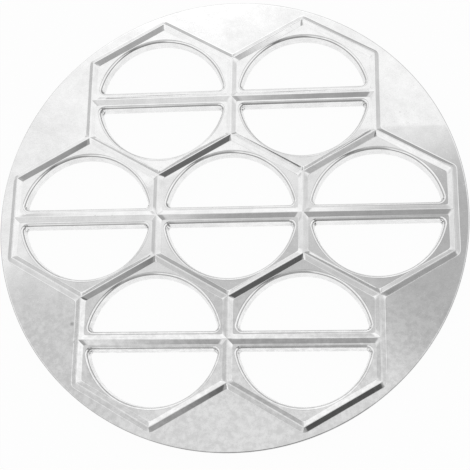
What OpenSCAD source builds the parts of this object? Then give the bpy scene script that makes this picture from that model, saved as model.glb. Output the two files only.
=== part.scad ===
// Ravioli mould: a round plate cast in one piece. Raised ridges outline seven hexagonal cells, a ridged bar
// crosses each cell, and the two half-round openings beside each bar have rounded lips and a collar below.
// Origin: centre of the underside, where the collars stand. +Z is up, and the bars run along X.

/* [Plate] */
// Thickness of the plate
plate_t = 2.3; // [2:0.1:4]
// Flat land between the outermost ridge corners and the rim
rim_land = 3; // [1:0.5:20]
// Rounding of the rim's two edges
rim_round = 0.6; // [0.2:0.1:0.9]

/* [Cells] */
// Distance between the crests of two opposite sides of a cell
pitch = 75; // [60:1:90]

/* [Ridges] */
// Width of a ridge at its foot
ridge_w = 4.9; // [3:0.1:6]
// Height of a ridge above the plate
ridge_h = 1.75; // [1:0.05:3]
// Width of the dulled crest
crest_w = 0.4; // [0.2:0.1:1]

/* [Openings] */
// Least land between a ridge's foot and the round lip of an opening
round_land = 0.2; // [0.1:0.1:2]
// Land between a bar's ridge and the straight lips beside it
bar_land = 0.65; // [0.2:0.05:2]
// Radius of the rounded lips
lip_r = 2; // [1:0.1:2.2]
// Depth that grinding the face flat took off the lips, which leaves their edge crisp
face_grind = 0.07; // [0.02:0.01:0.2]
// Radius of an opening's corners at the top of its wall
corner_r = 2.3; // [1.8:0.1:6]
// Depth that the corners' rounding bites past the walls, so that it meets them in a faint edge
corner_bite = 0.1; // [0.05:0.01:0.2]
// Draft of the walls, which narrows the openings downwards, in degrees
draft = 12; // [4:1:14]

/* [Collars] */
// Height of the collars below the plate
collar_h = 3.2; // [1:0.1:6]
// Wall thickness of a collar at its foot
collar_t = 2; // [1.5:0.1:2.4]

/* [Hidden] */
$fn = 96;
over = 1;

// How deep the ridges and collars are rooted in the plate
root = plate_t / 2;

// Radius of the core that the revolved spaces leave round their axes
core_r = corner_bite / 2;

plate_top = collar_h + plate_t;
top = plate_top + ridge_h + over;
cell_r = pitch / sqrt(3);

// Cell centres: the middle cell and a ring of six round it
centres = concat([[0, 0]], [for (turn = [0:60:300]) pitch * [cos(turn), sin(turn)]]);

// The rim clears the outermost foot corner of the ridges
foot_corner_r = (pitch + ridge_w) / sqrt(3);
disc_r = norm([pitch / 2, 1.5 * cell_r + foot_corner_r]) + rim_land;

// Lip: an arc about a centre lip_r outside the wall, cut off by the face of the plate
lip_z = plate_top - lip_r + face_grind;
lip_w = lip_r - sqrt(lip_r * lip_r - pow(lip_r - face_grind, 2));

// Outline of an opening at the top of its wall: an arc about the cell's centre, a straight side, two corners
wall_r = (pitch - ridge_w) / 2 - round_land - lip_w;
bar_half = ridge_w / 2 + bar_land + lip_w;
corner_y = bar_half + corner_r - corner_bite;
corner_reach = wall_r - corner_r + corner_bite;
corner_x = sqrt(corner_reach * corner_reach - corner_y * corner_y);

// How far the drafted wall has moved in at height z
function drafted_in(z) = (lip_z - z) * tan(draft);

module at_cells() {
    for (centre = centres) translate([centre[0], centre[1], 0]) children();
}

// A hexagon with sloping sides, as the meeting of three bars of trapezoid section
module sloping_hexagon(low_z, low_width, high_z, high_width) {
    intersection_for (turn = [0, 60, 120])
        rotate([90, 0, turn])
            linear_extrude(height = 2 * pitch, center = true)
                trapezoid(low_z, low_width, high_z, high_width);
}

module trapezoid(low_z, low_width, high_z, high_width) {
    polygon([
        [-low_width / 2, low_z],
        [low_width / 2, low_z],
        [high_width / 2, high_z],
        [-high_width / 2, high_z]
    ]);
}

// The flat disc, with its two edges rounded
module plate() {
    rotate_extrude($fn = 240)
        difference() {
            translate([0, collar_h]) square([disc_r, plate_t]);
            translate([disc_r - rim_round, collar_h]) rim_corner();
            translate([disc_r - rim_round, plate_top]) mirror([0, 1]) rim_corner();
        }
}

module rim_corner() {
    difference() {
        translate([0, -over]) square([rim_round + over, rim_round + over]);
        translate([0, rim_round]) circle(rim_round, $fn = 32);
    }
}

// Two faces that lean together to a dulled crest, round every cell and along every bar.
// The ridges are rooted in the plate, so that they grow out of its face.
module ridges() {
    slope = (ridge_w - crest_w) / ridge_h;
    root_w = ridge_w + slope * root;
    translate([0, 0, plate_top]) {
        difference() {
            at_cells() sloping_hexagon(-root, pitch + root_w, ridge_h, pitch + crest_w);
            at_cells() sloping_hexagon(
                -root - over, pitch - root_w - slope * over,
                ridge_h + over, pitch - crest_w + slope * over
            );
        }
        at_cells()
            rotate([90, 0, 90])
                linear_extrude(height = pitch, center = true)
                    trapezoid(-root, root_w, ridge_h, crest_w);
    }
}

// One tapered collar round each cell, rooted in the plate, and parted under the bar so that each opening
// has its own
module collars() {
    height = collar_h + root;
    lean = height * tan(draft);
    foot_r = wall_r - drafted_in(0) + collar_t;
    foot_gap = 2 * (bar_half + drafted_in(0) - collar_t);
    at_cells()
        difference() {
            cylinder(h = height, r1 = foot_r, r2 = foot_r + lean, $fn = 144);
            rotate([90, 0, 90])
                linear_extrude(height = 2 * pitch, center = true)
                    trapezoid(
                        -over, foot_gap + 2 * over * tan(draft),
                        height + over, foot_gap - 2 * (height + over) * tan(draft)
                    );
        }
}

// Section of the space inside an opening: the drafted wall and the flared lip.
// The wall's top lies at x = 0, and the space reaches in to x = -reach. A revolved space stops core_r short
// of its axis, where no opening reaches.
module opening_section(reach) {
    intersection() {
        translate([-reach, -over]) square([reach + lip_w, top + over]);
        difference() {
            polygon([
                [-pitch, -over],
                [-drafted_in(-over), -over],
                [0, lip_z],
                [lip_w, lip_z],
                [lip_w, top],
                [-pitch, top]
            ]);
            translate([lip_r, lip_z]) circle(lip_r, $fn = 64);
        }
    }
}

// The space of one half-round opening: a round wall and a straight one, less what the rounded corners leave
module opening() {
    difference() {
        intersection() {
            rotate_extrude($fn = 144) translate([wall_r, 0]) opening_section(wall_r - core_r);
            translate([0, bar_half, 0])
                rotate([90, 0, -90])
                    linear_extrude(height = 2 * pitch, center = true) opening_section(wall_r);
        }
        for (side = [0, 1]) mirror([side, 0, 0]) corner_metal();
    }
}

// The metal between a sharp corner and its rounding: a block whose sides run out square to the two walls,
// less the round space about the rounding's own centre
module corner_metal() {
    near = 4 * core_r;
    far = 2 * (corner_r + lip_r);
    square_to_arc = [corner_x, corner_y] / corner_reach;
    square_to_bar = [0, -1];
    translate([corner_x, corner_y, 0])
        difference() {
            translate([0, 0, -2 * over])
                linear_extrude(height = top + 3 * over)
                    polygon([
                        near * square_to_arc,
                        near * square_to_bar,
                        far * square_to_bar,
                        far * [1, -1],
                        far * square_to_arc
                    ]);
            rotate_extrude($fn = 48) translate([corner_r, 0]) opening_section(corner_r - core_r);
        }
}

module mould() {
    color("silver")
        difference() {
            union() {
                plate();
                ridges();
                collars();
            }
            at_cells() for (side = [0, 1]) mirror([0, side, 0]) opening();
        }
}

mould();
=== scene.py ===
from math import asin, atan, atan2, cos, pi, radians, sin, sqrt, tan

import bmesh
import bpy
from mathutils import Matrix, Vector, noise


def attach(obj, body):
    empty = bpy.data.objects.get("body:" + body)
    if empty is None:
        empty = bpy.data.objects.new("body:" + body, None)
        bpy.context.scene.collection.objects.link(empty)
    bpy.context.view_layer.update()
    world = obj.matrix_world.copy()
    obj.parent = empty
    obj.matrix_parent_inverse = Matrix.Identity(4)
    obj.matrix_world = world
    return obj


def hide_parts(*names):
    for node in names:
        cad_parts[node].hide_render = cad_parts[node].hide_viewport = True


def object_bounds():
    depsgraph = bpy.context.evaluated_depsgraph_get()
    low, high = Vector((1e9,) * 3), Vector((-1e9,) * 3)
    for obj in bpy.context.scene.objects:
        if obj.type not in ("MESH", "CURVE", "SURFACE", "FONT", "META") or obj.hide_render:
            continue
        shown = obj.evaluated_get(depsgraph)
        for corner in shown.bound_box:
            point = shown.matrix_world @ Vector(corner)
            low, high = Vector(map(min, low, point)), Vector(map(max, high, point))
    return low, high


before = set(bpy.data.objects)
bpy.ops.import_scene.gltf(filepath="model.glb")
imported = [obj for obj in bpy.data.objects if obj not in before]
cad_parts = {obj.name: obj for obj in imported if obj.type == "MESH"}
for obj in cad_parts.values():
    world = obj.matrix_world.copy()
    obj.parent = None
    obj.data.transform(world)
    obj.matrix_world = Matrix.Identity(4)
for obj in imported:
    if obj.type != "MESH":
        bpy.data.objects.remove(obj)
cad_low, cad_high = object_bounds()

# Casting
# The mould is one piece of aluminium, poured into a die, ground flat on its face and tumbled bright. Ridges,
# plate, lips and collars are one skin, built of rings of points with a band of quads from each to the next.
# Sizes are in millimetres, and heights are measured up from the collars' feet.
MM = 0.001

# The cells and their ridges: half the width of a ridge is given at its foot and at its crest
PITCH = 75.0
RIDGE_HALF = 2.45
CREST_HALF = 0.2
RIDGE_H = 1.75
PLATE_T = 2.3
RIM_ROUND = 0.6

# The openings: grinding the face cut their lips short, and left a flat land between the lips and the ridges
LIP_R = 2.0
FACE_GRIND = 0.07
ROUND_LAND = 0.2
BAR_LAND = 0.65
CORNER_R = 2.3
DRAFT = tan(radians(12))
COLLAR_T = 2.0
COLLAR_CORNER = 1.0

# From one side of a hexagon to the next, in degrees
HEX_TURN = 60
hex_half = radians(HEX_TURN / 2)
crest_z = cad_high[2] / MM
plate_z = crest_z - RIDGE_H
under_z = plate_z - PLATE_T
rim_r = cad_high[0] / MM
cell_half = PITCH / 2
cell_corner = PITCH / sqrt(3)
lip_z = plate_z - LIP_R + FACE_GRIND
lip_top = asin((plate_z - lip_z) / LIP_R)
lip_end = atan(DRAFT)
lip_w = LIP_R * (1 - cos(lip_top))
wall_r = cell_half - RIDGE_HALF - ROUND_LAND - lip_w
bar_half = RIDGE_HALF + BAR_LAND + lip_w


def spaced(low, high, count):
    """count evenly spaced values from low up to, but without, high"""
    return [low + (high - low) * i / count for i in range(count)]


# Half of one cell has five sides, and its opening has two corners, a round side and a bar. The points of a
# ring are spread over them: each has a place on the hexagon, as a side and a share of it, and one on the
# opening. On the slanted sides they crowd a little towards the ends, by END_PULL.
RIGHT, UPPER_RIGHT, UPPER_LEFT, LEFT, BAR = range(5)
CORNER_POINTS = 5
SIDE_POINTS = 12
CROWN_POINTS = 28
BAR_POINTS = 22
END_PULL = 0.6


def toward_ends(u):
    """moves evenly spaced places along an edge towards its two ends, where the corners need them"""
    return END_PULL * (1 - cos(pi * u)) / 2 + (1 - END_PULL) * u


corner_angle = asin((bar_half + CORNER_R) / (wall_r - CORNER_R))
corner_share = tan(corner_angle) / tan(hex_half)
upright = []
for i in range(CORNER_POINTS):
    upright.append((corner_share * i / CORNER_POINTS, "corner", 0.5 + 0.5 * i / CORNER_POINTS))
for g in spaced(0, 1, SIDE_POINTS):
    upright.append((corner_share + (1 - corner_share) * g, "side", g))
slanted = [toward_ends(u) for u in spaced(0, 1, CROWN_POINTS)]
bar_reach = sqrt((wall_r - CORNER_R) ** 2 - (bar_half + CORNER_R) ** 2) / cell_half
bar_rest = (1 - bar_reach) / 2

half_stations = [(RIGHT, t, kind, value) for t, kind, value in upright]
half_stations += [(UPPER_RIGHT, t, "crown", HEX_TURN * (0.5 + t)) for t in slanted]
half_stations += [(UPPER_LEFT, t, "crown", HEX_TURN * (1.5 + t)) for t in slanted]
half_stations += [(LEFT, 0.0, "left side", 1.0)]
half_stations += [(LEFT, 1 - t, "left " + kind, value) for t, kind, value in reversed(upright[1:])]
for i in range(CORNER_POINTS):
    half_stations.append((BAR, bar_rest * i / CORNER_POINTS, "left corner", 0.5 - 0.5 * i / CORNER_POINTS))
for w in spaced(-1, 1, BAR_POINTS):
    half_stations.append((BAR, (1 + bar_reach * w) / 2, "bar", w))
for i in range(CORNER_POINTS):
    half_stations.append((BAR, 1 - bar_rest * (1 - i / CORNER_POINTS), "corner", 0.5 * i / CORNER_POINTS))


def rounded_polygon(corners, reaches, stations):
    """points on a closed polygon, whose corners are rounded over the given reach along both their sides"""
    points = []
    count = len(corners)
    for side, share in stations:
        start = Vector(corners[side])
        end = Vector(corners[(side + 1) % count])
        length = (end - start).length
        near = side if share < 0.5 else (side + 1) % count
        away = min(share, 1 - share) * length
        reach = reaches[near]
        if reach <= 0 or away >= reach:
            points.append(tuple(start.lerp(end, share)))
            continue
        here = Vector(corners[near])
        before = (Vector(corners[near - 1]) - here).normalized() * reach + here
        after = (Vector(corners[(near + 1) % count]) - here).normalized() * reach + here
        u = (1 + away / reach) / 2 if share < 0.5 else (1 - away / reach) / 2
        points.append(tuple(before * (1 - u) ** 2 + here * 2 * u * (1 - u) + after * u ** 2))
    return points


# The ridges on the bars are a little lower than those round the cells, and rise to them at their ends: by how
# large a share, and over what length
BAR_LOWER = 0.15
BAR_RISE = 2.0


def ridge_ring(inset, reach, z):
    """a ring round half a cell, inset from the crests of the ridges and of the bar"""
    a = cell_half - inset
    corners = [(a, inset), (a, a * tan(hex_half)), (0, a / cos(hex_half))]
    corners += [(-a, a * tan(hex_half)), (-a, inset)]
    places = [(side, share) for side, share, kind, value in half_stations]
    ring = []
    for (side, share), (x, y) in zip(places, rounded_polygon(corners, [reach] * len(corners), places)):
        lowered = 0.0
        if side == BAR and z > plate_z:
            from_end = cell_half - abs(x) - inset
            lowered = BAR_LOWER * (z - plate_z) * min(1.0, max(0.0, from_end / BAR_RISE))
        ring.append((x, y, z - lowered, 0))
    return ring


def opening_ring(grown, corner, z, lumps=0.0):
    """a ring on the half-round opening's outline, grown into the metal, with the given corner radius"""
    arc_r = wall_r + grown
    bar_y = bar_half - grown
    corner_y = bar_y + corner
    corner_x = sqrt((arc_r - corner) ** 2 - corner_y ** 2)
    ends = atan2(corner_y, corner_x)
    ring = []
    for side, share, kind, value in half_stations:
        left = -1 if kind.startswith("left") else 1
        rough = 0.0
        if kind.endswith("corner"):
            turn = -pi / 2 + value * (pi / 2 + ends)
            x, y = corner_x + corner * cos(turn), corner_y + corner * sin(turn)
            rough = lumps * sin(pi * value)
        elif kind.endswith("side"):
            turn = ends + value * (hex_half - ends)
            x, y = arc_r * cos(turn), arc_r * sin(turn)
        elif kind == "crown":
            x, y = arc_r * cos(radians(value)), arc_r * sin(radians(value))
        else:
            x, y = corner_x * value, bar_y
        ring.append((left * x, y, z, rough))
    return ring


def between(first, last, shares):
    """rings at some shares of the way between two rings of as many points"""
    rings = []
    for share in shares:
        rings.append([tuple(Vector(a).lerp(Vector(b), share)) for a, b in zip(first, last)])
    return rings


# The ridge's section: a dulled crest, a straight face and a fillet at the foot. The shares along the face are
# extra rings, and those near its ends keep it flat to the eye. The lands beside the ridges have the same.
CREST_DULLED = 0.08
ARC_STEPS = 3
FACE_SHARES = (0.05, 0.5, 0.95)
LAND_SHARES = (0.06, 0.5, 0.94)
lean = atan(RIDGE_H / (RIDGE_HALF - CREST_HALF))
crest_r = CREST_DULLED / tan(lean / 2)


def ridge_section(foot_r):
    """half the section as (distance, height, share), with a share from 0 at the crest to 1 at the foot"""
    section = [(0.0, crest_z)]
    for i in range(ARC_STEPS + 1):
        turn = lean * i / ARC_STEPS
        section.append((CREST_HALF - CREST_DULLED + crest_r * sin(turn), crest_z - crest_r * (1 - cos(turn))))
    face_top = section[-1]
    foot_s = RIDGE_HALF + foot_r * tan(lean / 2)
    foot = []
    for i in range(ARC_STEPS + 1):
        turn = lean * (1 - i / ARC_STEPS)
        foot.append((foot_s - foot_r * sin(turn), plate_z + foot_r * (1 - cos(turn))))
    for share in FACE_SHARES:
        section.append(tuple(a + (b - a) * share for a, b in zip(face_top, foot[0])))
    return [(s, z, min(1.0, s / RIDGE_HALF)) for s, z in section + foot]


# Inside the cells, the ridges' feet are almost sharp, and their corners are rounded over 1 mm at the foot
INSIDE_FOOT_R = 0.15
INSIDE_CORNER = 1.0
half_cell = [ridge_ring(s, INSIDE_CORNER * share, z) for s, z, share in ridge_section(INSIDE_FOOT_R)]

# The lip is an arc. It is cut off crisp where the face was ground, and runs into the wall at the wall's own
# slope. In the openings' corners, the casting grows lumpy from the lip's third ring down.
LIP_STEPS = 8
LUMPS_FROM = 2
CORNER_LUMPS = 0.3
lip_rings = []
for i in range(LIP_STEPS + 1):
    turn = lip_top + (lip_end - lip_top) * i / LIP_STEPS
    grown = LIP_R * (1 - cos(turn))
    lumps = CORNER_LUMPS * max(0, i - LUMPS_FROM) / (LIP_STEPS - LUMPS_FROM)
    lip_rings.append(opening_ring(grown, CORNER_R + grown, lip_z + LIP_R * sin(turn), lumps))
half_cell += between(half_cell[-1], lip_rings[0], LAND_SHARES)
half_cell += lip_rings

# The drafted wall, with a ring close under the lip, the collar's foot with its two broken edges, and the
# collar's outside up to the plate, which it meets in a small fillet
UNDER_LIP = 0.15
FOOT_EDGE = 0.25
FOOT_BEND = 0.3 * FOOT_EDGE
COLLAR_ROOT = 0.5
wall_top_z = lip_z + LIP_R * sin(lip_end)
wall_top = LIP_R * (1 - cos(lip_end))
wall_rings = []
for z in (wall_top_z - UNDER_LIP, wall_top_z / 2, FOOT_EDGE):
    grown = wall_top - (wall_top_z - z) * DRAFT
    lumps = CORNER_LUMPS if z > FOOT_EDGE else 0.0
    wall_rings.append(opening_ring(grown, CORNER_R + grown, z, lumps))
foot_in = grown
foot_out = wall_top - wall_top_z * DRAFT + COLLAR_T
wall_rings.append(opening_ring(foot_in + FOOT_BEND, CORNER_R + foot_in + FOOT_BEND, FOOT_BEND))
wall_rings.append(opening_ring(foot_in + FOOT_EDGE, CORNER_R + foot_in + FOOT_EDGE, 0))
wall_rings.append(opening_ring(foot_out - FOOT_EDGE, COLLAR_CORNER, 0))
wall_rings.append(opening_ring(foot_out - FOOT_BEND, COLLAR_CORNER, FOOT_BEND))
root_z = under_z - COLLAR_ROOT
for z in (FOOT_EDGE, root_z):
    wall_rings.append(opening_ring(foot_out + z * DRAFT, COLLAR_CORNER, z))
for i in range(1, ARC_STEPS + 1):
    turn = pi / 2 * i / ARC_STEPS
    grown = foot_out + root_z * DRAFT + COLLAR_ROOT * (1 - cos(turn))
    wall_rings.append(opening_ring(grown, COLLAR_CORNER, under_z - COLLAR_ROOT * (1 - sin(turn))))
half_cell += wall_rings
half_cell.append(ridge_ring(0, 0, under_z))

# The outside of the seven cells: each outer cell shows three sides, and their points are those of the cells
outer_sides = []
for turn in range(0, 360, HEX_TURN):
    for side in (-HEX_TURN, 0, HEX_TURN):
        outer_sides.append((turn, turn + side))
upright_shares = sorted({round(0.5 + sign * t / 2, 9) for t, kind, value in upright for sign in (1, -1)})
outer_stations = []
for index, (turn, facing) in enumerate(outer_sides):
    shares = [0.0] + upright_shares if facing % 180 == 0 else slanted
    outer_stations += [(index, share) for share in shares]


def heading(degrees):
    """the level direction at an angle from the X axis"""
    return Vector((cos(radians(degrees)), sin(radians(degrees))))


def outer_ring(grown, convex, concave, z):
    """a ring round all the cells, grown outwards from the crests of the outermost ridges"""
    corners = []
    reaches = []
    for index, (turn, facing) in enumerate(outer_sides):
        corner = PITCH * heading(turn) + cell_corner * heading(facing - HEX_TURN / 2)
        out = heading(facing)
        out_before = heading(outer_sides[index - 1][1])
        corner += (out + out_before) * grown / (1 + out.dot(out_before))
        corners.append(tuple(corner))
        between_cells = index % 3 == 0
        reaches.append(concave if between_cells else convex)
    return [(x, y, z, 0) for x, y in rounded_polygon(corners, reaches, outer_stations)]


# Outside the cells, the ridges' feet have a wider fillet and rounder corners, and one more ring just past them
OUTSIDE_FOOT_R = 0.5
OUTSIDE_CONVEX = 2.2
OUTSIDE_CONCAVE = 1.5
PAST_FOOT = 0.25
outside_section = ridge_section(OUTSIDE_FOOT_R)
outside_section.append((outside_section[-1][0] + PAST_FOOT, plate_z, 1.0))
flange = []
for s, z, share in outside_section:
    flange.append(outer_ring(s, OUTSIDE_CONVEX * share, OUTSIDE_CONCAVE * share, z))


def rim_ring(radius, z):
    """a round ring, whose points lie straight out from those of the ridges' foot"""
    turns = [atan2(point[1], point[0]) for point in flange[-1]]
    return [(radius * cos(turn), radius * sin(turn), z, 0) for turn in turns]


# The flat flange runs out to a ring just inside the rim, over the rim's two rounded edges, and back under the
# plate to the cells
RIM_STEPS = 5
RIM_FLAT = 0.2
FLANGE_STEPS = 10
UNDERSIDE_STEPS = 6
rim_top = [rim_ring(rim_r - RIM_ROUND - RIM_FLAT, plate_z)]
rim_under = []
for i in range(RIM_STEPS + 1):
    turn = pi / 2 * i / RIM_STEPS
    radius = rim_r - RIM_ROUND * (1 - sin(turn))
    rim_top.append(rim_ring(radius, plate_z - RIM_ROUND * (1 - cos(turn))))
    rim_under.append(rim_ring(radius, under_z + RIM_ROUND * (1 - cos(turn))))
flange += between(flange[-1], rim_top[0], spaced(0, 1, FLANGE_STEPS)[1:])
flange += rim_top
top_rings = len(flange)
flange += rim_under[::-1]
cell_foot = outer_ring(0, 0, 0, under_z)
flange += between(flange[-1], cell_foot, spaced(0, 1, UNDERSIDE_STEPS)[1:]) + [cell_foot]

# Each ring's finish: how far it was ground and tumbled, how dark a line lies along it, and how far it was
# drawn into fine streaks. Grey lines of painted shade lie along the lips' upper edge and low on them, and the
# rim is darker.
GROUND = (1.0, 0.0, 0.0)
DRAWN = (1.0, 0.0, 1.0)
LIP = (0.9, 0.0, 1.0)
# The lips' two grey lines are painted shade: a dark edge at their top and a darker band low on them
LIP_UPPER_SHADE_LINE = (0.9, 0.45, 1.0)
LIP_LOWER_SHADE_LINE = (0.9, 0.6, 1.0)
RIM_EDGE = (0.9, 0.55, 0.0)
AS_CAST = (0.0, 0.0, 1.0)
LOWER_SHADE_LINE_RINGS = (5, 6)
RIM_EDGE_RINGS = 4
ridge_rings = len(outside_section) - 1
half_finish_and_shade = [DRAWN] * ridge_rings
half_finish_and_shade += [GROUND] * (len(half_cell) - ridge_rings - len(lip_rings) - len(wall_rings) - 1)
half_finish_and_shade += [LIP_UPPER_SHADE_LINE]
half_finish_and_shade += [LIP_LOWER_SHADE_LINE if i in LOWER_SHADE_LINE_RINGS else LIP for i in range(1, len(lip_rings))]
half_finish_and_shade += [AS_CAST] * (len(wall_rings) + 1)
flange_finish = [DRAWN] * ridge_rings
flange_finish += [GROUND] * (top_rings - RIM_EDGE_RINGS - ridge_rings)
flange_finish += [RIM_EDGE] * RIM_EDGE_RINGS
flange_finish += [AS_CAST] * (len(flange) - top_rings)


def skin(mesh, rings, finishes_and_shades, place, flipped):
    """joins each ring to the next with a band of quads

    Each point keeps its finish, and its run: its way along the ring, its way across the rings, and how pitted
    it is."""
    along = [0.0]
    for point, following in zip(rings[0], rings[0][1:]):
        along.append(along[-1] + (Vector(following) - Vector(point)).length)
    across = 0.0
    rows = []
    for number, (ring, finish_and_shade) in enumerate(zip(rings, finishes_and_shades)):
        if number:
            steps = [(Vector(a) - Vector(b)).length for a, b in zip(ring, rings[number - 1])]
            across += sum(steps) / len(steps)
        row = []
        for point, way in zip(ring, along):
            vert = mesh.verts.new(place(point))
            vert[mesh.verts.layers.float_vector["finish_and_shade"]] = finish_and_shade
            vert[mesh.verts.layers.float_vector["run"]] = (way, across, point[3] / CORNER_LUMPS)
            row.append(vert)
        rows.append(row)
    for row, following in zip(rows, rows[1:]):
        for i in range(len(row)):
            j = (i + 1) % len(row)
            face = [row[i], row[j], following[j], following[i]]
            mesh.faces.new(face[::-1] if flipped else face)


# The corners' lumps come from noise with a fixed seed, so they are the same in every run
LUMP_SIZE = 0.9
LUMP_SEED = 1
noise.seed_set(LUMP_SEED)


def placed(x, y, side):
    """places points in a cell, or in its other half, and lumps them where the casting is rough"""
    def place(point):
        spot = Vector((x + point[0], y + side * point[1], point[2]))
        return (spot + noise.noise_vector(spot / LUMP_SIZE) * point[3]) * MM
    return place


# The fourteen halves and the flange are welded where their rings meet, and the sharper edges stay crisp
WELD = 0.004
CREASE = radians(14)
casting_mesh = bmesh.new()
casting_mesh.verts.layers.float_vector.new("finish_and_shade")
casting_mesh.verts.layers.float_vector.new("run")
centres = [(0, 0)]
for turn in range(0, 360, HEX_TURN):
    centres.append((PITCH * cos(radians(turn)), PITCH * sin(radians(turn))))
for x, y in centres:
    for side in (1, -1):
        skin(casting_mesh, half_cell, half_finish_and_shade, placed(x, y, side), side < 0)
skin(casting_mesh, flange, flange_finish, placed(0, 0, 1), True)
bmesh.ops.remove_doubles(casting_mesh, verts=casting_mesh.verts, dist=WELD * MM)
for edge in casting_mesh.edges:
    edge.smooth = edge.calc_face_angle(0) < CREASE
for face in casting_mesh.faces:
    face.smooth = True
casting_data = bpy.data.meshes.new("mould_casting")
casting_mesh.to_mesh(casting_data)
casting_mesh.free()
casting = bpy.data.objects.new("mould_casting", casting_data)
bpy.context.scene.collection.objects.link(casting)


def linear(hex_colour):
    """an sRGB hex colour as the linear colour that the shaders take"""
    channels = [int(hex_colour[i:i + 2], 16) / 255 for i in (1, 3, 5)]
    flat = [c / 12.92 if c <= 0.04045 else ((c + 0.055) / 1.055) ** 2.4 for c in channels]
    return (*flat, 1)


def add(tree, kind, settings, **inputs):
    """adds a node with its settings, and sets or links its inputs, by name or by number, as in in_0"""
    node = tree.nodes.new(kind)
    for name, value in settings.items():
        setattr(node, name, value)
    for name, value in inputs.items():
        socket = node.inputs[int(name[3:])] if name.startswith("in_") else node.inputs[name.replace("_", " ")]
        if isinstance(value, bpy.types.NodeSocket):
            tree.links.new(value, socket)
        else:
            socket.default_value = value
    return node


# Tumbled cast aluminium: a pale, soft mirror. Clouds and a mottle make it a little lighter and darker, small
# dents are duller, ridges and lips are drawn into streaks, and the front of the mould is scuffed. The walls
# and the underside keep the duller skin that the die left, the pits in the openings' corners are dark, and
# grey lines of painted shade lie along the lips.
# The real grain and streaks are about 0.1 mm wide, too fine to show, so they are drawn coarser.
CLOUD_SIZE = 15.0
MOTTLE_SIZE = 4.0
SCUFF_SIZE = 3.0
DENT_SIZE = 1.2
PIT_SIZE = 0.9
GRAIN_SIZE = 0.7
STREAK_LENGTH = 9.0
STREAK_WIDTH = 0.5
MOTTLE_WEIGHT = 0.8
GRAIN_WEIGHT = 0.9
SCUFF_WEIGHT = 3.0
SCUFFED_FROM = -30.0
SCUFFED_FULLY = -60.0
SHADE_RANGE = (0.98, 1.72)
PIT_RANGE = (0.5, 0.58)
DENT_RANGE = (0.58, 0.75)
FACE_COLOURS = ("#EAEAEA", "#FDFDFD")
CAST_COLOURS = ("#E4E4E4", "#FCFCFC")
# The dark colour of the marks, of the pits and of the lips' lines of painted shade
GRIME_AND_SHADE_COLOUR = "#505050"
FACE_ROUGHNESS = (0.02, 0.14)
CAST_ROUGHNESS = 0.3
CAST_RELIEF = 0.08
RELIEF_DEPTH = 0.1

# Two smudges and a speck on the flange, and two nicks in a bar's crest: place, radius and how dark they are
MARKS = [
    (-78.9, -56.5, plate_z, 1.5, 0.6),
    (-77.3, -65.7, plate_z, 1.0, 0.4),
    (87.5, 53.4, plate_z, 0.7, 0.25),
    (-69.7, 0.4, crest_z, 0.6, 0.9),
    (-60.8, 0.2, crest_z, 0.5, 0.8),
]


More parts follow.
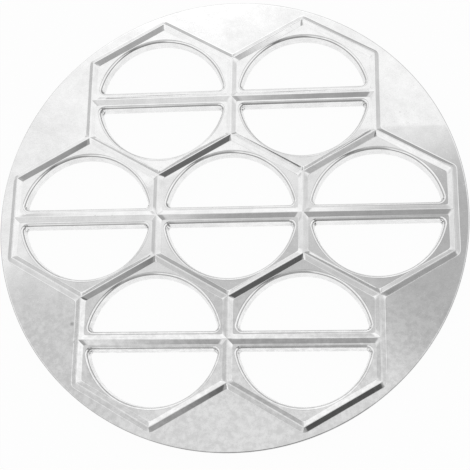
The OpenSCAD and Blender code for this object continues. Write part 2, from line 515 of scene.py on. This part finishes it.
def tumbled_cast_aluminium():
    material = bpy.data.materials.new("tumbled_cast_aluminium")
    material.use_nodes = True
    tree = material.node_tree
    tree.nodes.clear()
    place = add(tree, "ShaderNodeTexCoord", {}).outputs["Object"]
    # The finish's second part, the dark line, is painted shade on the lips
    finish_and_shade = add(tree, "ShaderNodeAttribute", {"attribute_name": "finish_and_shade"}).outputs["Vector"]
    polish, line, drawn = add(tree, "ShaderNodeSeparateXYZ", {}, Vector=finish_and_shade).outputs
    run = add(tree, "ShaderNodeAttribute", {"attribute_name": "run"}).outputs["Vector"]
    pitted = add(tree, "ShaderNodeSeparateXYZ", {}, Vector=run).outputs["Z"]

    # The shade: clouds, mottle, grain, streaks where the metal was drawn, and scuffs towards the front
    clouds = add(tree, "ShaderNodeTexNoise", {}, Vector=place, Scale=1 / (CLOUD_SIZE * MM), Detail=3.0,
                 Roughness=0.6)
    mottle = add(tree, "ShaderNodeTexNoise", {}, Vector=place, Scale=1 / (MOTTLE_SIZE * MM), Detail=3.0,
                 Roughness=0.6)
    grain = add(tree, "ShaderNodeTexNoise", {}, Vector=place, Scale=1 / (GRAIN_SIZE * MM), Detail=2.0)
    shade = clouds.outputs["Fac"]
    for texture, weight in ((mottle, MOTTLE_WEIGHT), (grain, GRAIN_WEIGHT)):
        shade = add(tree, "ShaderNodeMath", {"operation": "MULTIPLY_ADD"}, in_0=texture.outputs["Fac"],
                    in_1=weight, in_2=shade).outputs[0]
    stretched = add(tree, "ShaderNodeVectorMath", {"operation": "MULTIPLY"}, in_0=run,
                    in_1=(1 / STREAK_LENGTH, 1 / STREAK_WIDTH, 1))
    streaks = add(tree, "ShaderNodeTexNoise", {}, Vector=stretched.outputs[0], Scale=1.0, Detail=2.0)
    streak = add(tree, "ShaderNodeMath", {"operation": "SUBTRACT"}, in_0=streaks.outputs["Fac"], in_1=0.5)
    shade = add(tree, "ShaderNodeMath", {"operation": "MULTIPLY_ADD"}, in_0=streak.outputs[0], in_1=drawn,
                in_2=shade).outputs[0]
    scuffs = add(tree, "ShaderNodeTexNoise", {}, Vector=place, Scale=1 / (SCUFF_SIZE * MM), Detail=4.0,
                 Roughness=0.7)
    scuff = add(tree, "ShaderNodeMath", {"operation": "SUBTRACT"}, in_0=scuffs.outputs["Fac"], in_1=0.5)
    back_to_front = add(tree, "ShaderNodeSeparateXYZ", {}, Vector=place).outputs["Y"]
    scuffed = add(tree, "ShaderNodeMapRange", {}, Value=back_to_front, From_Min=SCUFFED_FROM * MM,
                  From_Max=SCUFFED_FULLY * MM, To_Max=SCUFF_WEIGHT)
    shade = add(tree, "ShaderNodeMath", {"operation": "MULTIPLY_ADD"}, in_0=scuff.outputs[0],
                in_1=scuffed.outputs["Result"], in_2=shade).outputs[0]
    shade = add(tree, "ShaderNodeMapRange", {}, Value=shade, From_Min=SHADE_RANGE[0],
                From_Max=SHADE_RANGE[1]).outputs["Result"]

    # The colour: tumbled or as cast, under the dark lines, pits and marks; the lines on the lips are painted
    # shade
    face = add(tree, "ShaderNodeMix", {"data_type": "RGBA"}, in_0=shade, in_6=linear(FACE_COLOURS[0]),
               in_7=linear(FACE_COLOURS[1]))
    cast = add(tree, "ShaderNodeMix", {"data_type": "RGBA"}, in_0=shade, in_6=linear(CAST_COLOURS[0]),
               in_7=linear(CAST_COLOURS[1]))
    clean = add(tree, "ShaderNodeMix", {"data_type": "RGBA"}, in_0=polish, in_6=cast.outputs[2],
                in_7=face.outputs[2])
    pits = add(tree, "ShaderNodeTexNoise", {}, Vector=place, Scale=1 / (PIT_SIZE * MM), Detail=1.0)
    pit = add(tree, "ShaderNodeMapRange", {}, Value=pits.outputs["Fac"], From_Min=PIT_RANGE[0],
              From_Max=PIT_RANGE[1])
    # The lines, which on the lips are painted shade, are added to the dark pits
    grime_and_painted_shade = add(tree, "ShaderNodeMath", {"operation": "MULTIPLY_ADD", "use_clamp": True},
                in_0=pit.outputs["Result"], in_1=pitted, in_2=line)
    for x, y, z, radius, depth in MARKS:
        away = add(tree, "ShaderNodeVectorMath", {"operation": "DISTANCE"}, in_0=place,
                   in_1=(x * MM, y * MM, z * MM))
        mark = add(tree, "ShaderNodeMapRange", {}, Value=away.outputs["Value"], From_Max=radius * MM,
                   To_Min=depth, To_Max=0.0)
        grime_and_painted_shade = add(tree, "ShaderNodeMath", {"operation": "MAXIMUM"}, in_0=grime_and_painted_shade.outputs[0],
                    in_1=mark.outputs["Result"])
    colour = add(tree, "ShaderNodeMix", {"data_type": "RGBA"}, in_0=grime_and_painted_shade.outputs[0], in_6=clean.outputs[2],
                 in_7=linear(GRIME_AND_SHADE_COLOUR))

    # The shine: duller in the dents and on the cast skin, which also has a slight relief
    dents = add(tree, "ShaderNodeTexNoise", {}, Vector=place, Scale=1 / (DENT_SIZE * MM), Detail=2.0)
    dulled = add(tree, "ShaderNodeMapRange", {}, Value=dents.outputs["Fac"], From_Min=DENT_RANGE[0],
                 From_Max=DENT_RANGE[1], To_Min=FACE_ROUGHNESS[0], To_Max=FACE_ROUGHNESS[1])
    roughness = add(tree, "ShaderNodeMix", {"data_type": "FLOAT"}, in_0=polish, in_2=CAST_ROUGHNESS,
                    in_3=dulled.outputs["Result"])
    strength = add(tree, "ShaderNodeMapRange", {}, Value=polish, To_Min=CAST_RELIEF, To_Max=0.0)
    relief = add(tree, "ShaderNodeBump", {}, Height=grain.outputs["Fac"], Strength=strength.outputs["Result"],
                 Distance=RELIEF_DEPTH * MM)
    metal = add(tree, "ShaderNodeBsdfPrincipled", {}, Base_Color=colour.outputs[2], Metallic=1.0,
                Roughness=roughness.outputs[0], Normal=relief.outputs["Normal"])
    add(tree, "ShaderNodeOutputMaterial", {}, Surface=metal.outputs["BSDF"])
    return material


casting_data.materials.append(tumbled_cast_aluminium())
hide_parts("mould")
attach(casting, "root")

# Floor
# A large sheet of white board lies under the mould. It shows white and keeps a soft shadow. In the metal, it
# is white close round the mould, and further off it shows only the light that falls on it.
BOARD_HALF = 3000.0
WHITE_TO_EYE = 0.96
WHITE_IN_METAL = 0.95
WHITE_WITHIN = 125.0
PLAIN_BEYOND = 160.0
BOARD_COLOUR = "#DEDEDE"
bpy.ops.mesh.primitive_plane_add(size=2 * BOARD_HALF * MM, location=(0, 0, cad_low[2]))
floor = bpy.context.object
floor.name = "white_board"


def white_board():
    material = bpy.data.materials.new("white_board")
    material.use_nodes = True
    tree = material.node_tree
    tree.nodes.clear()
    seen = add(tree, "ShaderNodeLightPath", {})
    in_metal = add(tree, "ShaderNodeMath", {"operation": "MAXIMUM"}, in_0=seen.outputs["Is Glossy Ray"],
                   in_1=seen.outputs["Is Transmission Ray"])
    place = add(tree, "ShaderNodeTexCoord", {}).outputs["Object"]
    away = add(tree, "ShaderNodeVectorMath", {"operation": "LENGTH"}, in_0=place)
    near = add(tree, "ShaderNodeMapRange", {}, Value=away.outputs["Value"], From_Min=WHITE_WITHIN * MM,
               From_Max=PLAIN_BEYOND * MM, To_Min=WHITE_IN_METAL, To_Max=0.0)
    metal_share = add(tree, "ShaderNodeMath", {"operation": "MULTIPLY"}, in_0=in_metal.outputs[0],
                      in_1=near.outputs["Result"])
    share = add(tree, "ShaderNodeMath", {"operation": "MULTIPLY_ADD"}, in_0=seen.outputs["Is Camera Ray"],
                in_1=WHITE_TO_EYE, in_2=metal_share.outputs[0])
    board = add(tree, "ShaderNodeBsdfDiffuse", {}, Color=linear(BOARD_COLOUR))
    glow = add(tree, "ShaderNodeEmission", {}, Color=(1, 1, 1, 1), Strength=1.0)
    both = add(tree, "ShaderNodeMixShader", {}, in_0=share.outputs[0], in_1=board.outputs[0],
               in_2=glow.outputs[0])
    add(tree, "ShaderNodeOutputMaterial", {}, Surface=both.outputs[0])
    return material


floor.data.materials.append(white_board())

# Studio light
# The light comes from pale walls, windows and a white ceiling all round, which the metal mirrors. The walls'
# level is given at heights from 0 at the floor to 1 straight up, and a level of 1 is white.
WALL_LEVELS = [(0.0, 0.6), (0.14, 0.64), (0.24, 0.68), (0.34, 0.78), (0.47, 0.98), (0.6, 1.0), (0.75, 1.0)]

# Pale and dark cards, named for where they are, show in the metal as soft round patches, each laid over those
# before it. A card is given as its azimuth and elevation, the radius to which it is full and the one at which
# it has faded, all in degrees, and its level.
CARDS = {
    "back screen": (105, 32, 18, 26, 1.05),
    "back light": (103, 50, 8, 13, 1.25),
    "left light": (150, 62, 6, 16, 0.92),
    "ceiling": (-75, 79.8, 32.3, 32.45, 0.85),
    "inner ceiling": (-75, 79.8, 25, 31, 0.66),
    "upper ceiling": (140, 86, 9, 14, 0.75),
    "ceiling left corner": (147, 71, 2, 6, 0.65),
    "ceiling seam": (108, 75, 2, 5, 0.57),
    "ceiling corner": (70, 73.5, 2, 7.5, 0.48),
    "dark ceiling": (-52, 57, 7, 12, 0.2),
    "front wall": (-79, 31, 15, 27, 0.35),
    "front left ceiling": (-112, 45, 5, 10, 0.76),
    "front wall above": (-82, 39, 10, 16, 0.38),
    "front left wall": (-131, 21, 5, 11, 0.62),
    "front table": (-85, 2, 18, 22, 0.4),
    "front table left": (-118, 1, 10, 16, 0.4),
    "front table right": (-45, 1, 12, 18, 0.4),
    "front right ceiling": (-56, 43, 3, 8, 0.45),
    "front right wall": (-48, 27, 6, 13, 0.5),
    "dark card edge": (-49, 24, 3, 7, 0.36),
    "dark card": (-57.5, 23, 3, 7.5, 0.09),
    "dark card middle": (-57, 29.5, 2.5, 6.5, 0.11),
    "dark card top": (-57, 37, 2, 7, 0.15),
    "left wall": (170, 9, 6, 12, 0.6),
    "left window": (154, 12, 3, 12, 0.98),
    "back left window": (122, 4, 7, 12, 1.0),
    "back window": (98, 4, 5, 10, 1.0),
    "back wall": (69, 1, 6, 12, 0.42),
}


def toward(azimuth, elevation):
    """the direction from the mould to a card's middle"""
    flat = cos(radians(elevation))
    return (flat * cos(radians(azimuth)), flat * sin(radians(azimuth)), sin(radians(elevation)))


world = bpy.data.worlds.new("studio")
bpy.context.scene.world = world
world.use_nodes = True
sky = world.node_tree
sky.nodes.clear()
direction = add(sky, "ShaderNodeTexCoord", {}).outputs["Generated"]
height = add(sky, "ShaderNodeSeparateXYZ", {}, Vector=direction).outputs["Z"]
walls = add(sky, "ShaderNodeValToRGB", {}, Fac=height)
ramp = walls.color_ramp
while len(ramp.elements) < len(WALL_LEVELS):
    ramp.elements.new(1.0)
for element, (position, level) in zip(ramp.elements, WALL_LEVELS):
    element.position = position
    element.color = (level, level, level, 1)
level = walls.outputs["Color"]
for azimuth, elevation, full, faded, strength in CARDS.values():
    along = add(sky, "ShaderNodeVectorMath", {"operation": "DOT_PRODUCT"}, in_0=direction,
                in_1=toward(azimuth, elevation))
    inside = add(sky, "ShaderNodeMapRange", {"interpolation_type": "SMOOTHSTEP"},
                 Value=along.outputs["Value"], From_Min=cos(radians(faded)), From_Max=cos(radians(full)))
    level = add(sky, "ShaderNodeMix", {"data_type": "FLOAT"}, in_0=inside.outputs["Result"], in_2=level,
                in_3=strength).outputs[0]
seen = add(sky, "ShaderNodeLightPath", {})
studio = add(sky, "ShaderNodeBackground", {}, Color=(1, 1, 1, 1), Strength=level)
backdrop = add(sky, "ShaderNodeBackground", {}, Color=(1, 1, 1, 1), Strength=1.0)
shown = add(sky, "ShaderNodeMixShader", {}, in_0=seen.outputs["Is Camera Ray"], in_1=studio.outputs[0],
            in_2=backdrop.outputs[0])
add(sky, "ShaderNodeOutputWorld", {}, Surface=shown.outputs[0])

# Camera
# It looks down on the mould from a little to its front, as in the photograph. Its place, roll and lens were
# fitted to the openings and the rim. The roll is in radians, and the focal length is in the image's pixels.
CAMERA_AIM = Vector((2.926, -11.29, plate_z)) * MM
CAMERA_FROM = Vector((0.1103, -0.29227, 0.9499)).normalized()
CAMERA_DISTANCE = 556.64 * MM
CAMERA_ROLL = 0.0155
PHOTO_WIDTH = 470
FOCAL_LENGTH = 1098.48
SENSOR = 36.0
right = (-CAMERA_FROM).cross(Vector((0, 1, 0))).normalized()
up = right.cross(-CAMERA_FROM)
rolled_right = cos(CAMERA_ROLL) * right + sin(CAMERA_ROLL) * up
rolled_up = cos(CAMERA_ROLL) * up - sin(CAMERA_ROLL) * right
turned = Matrix((rolled_right, rolled_up, CAMERA_FROM)).transposed().to_4x4()
camera_data = bpy.data.cameras.new("camera")
camera_data.sensor_width = SENSOR
camera_data.lens = FOCAL_LENGTH / PHOTO_WIDTH * SENSOR
camera = bpy.data.objects.new("camera", camera_data)
bpy.context.scene.collection.objects.link(camera)
camera.matrix_world = Matrix.Translation(CAMERA_AIM + CAMERA_FROM * CAMERA_DISTANCE) @ turned
bpy.context.scene.camera = camera
bpy.context.scene.view_settings.view_transform = "Standard"
